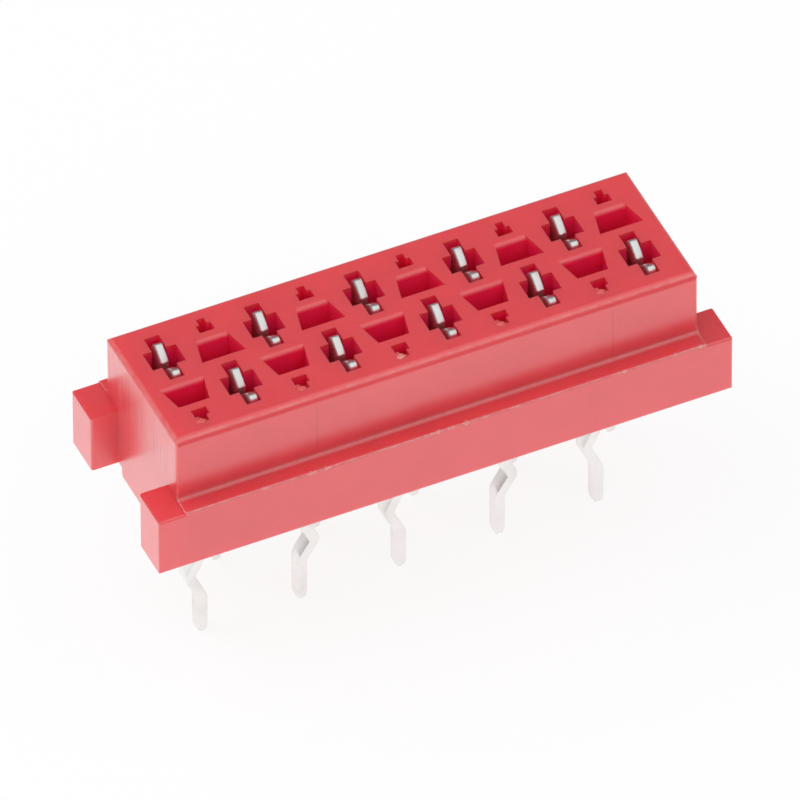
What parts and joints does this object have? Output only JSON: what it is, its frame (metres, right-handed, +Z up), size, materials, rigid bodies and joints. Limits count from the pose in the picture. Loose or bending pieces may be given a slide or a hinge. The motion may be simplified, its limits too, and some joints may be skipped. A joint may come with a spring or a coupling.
{
  "type": "printed circuit board socket",
  "caption": "Low moulded board socket with staggered rows of fork contacts, side rails that end in wings, and kinked solder tails.",
  "frame": {"origin": "centre of the contact pattern, on the plane of the board that the standoff feet stand on", "axes": "+X along the rows, +Y across them towards the row that starts first, +Z up out of the mating face"},
  "size_m": [0.0146, 0.005, 0.0072],
  "materials": {
    "housing": "satin moulded",
    "contact": "bright tin plate"
  },
  "bodies": {
    "root": {"housing": "housing", "contact_1": "contact", "contact_2": "contact", "contact_3": "contact", "contact_4": "contact", "contact_5": "contact", "contact_6": "contact", "contact_7": "contact", "contact_8": "contact", "contact_9": "contact", "contact_10": "contact"}
  },
  "joints": []
}
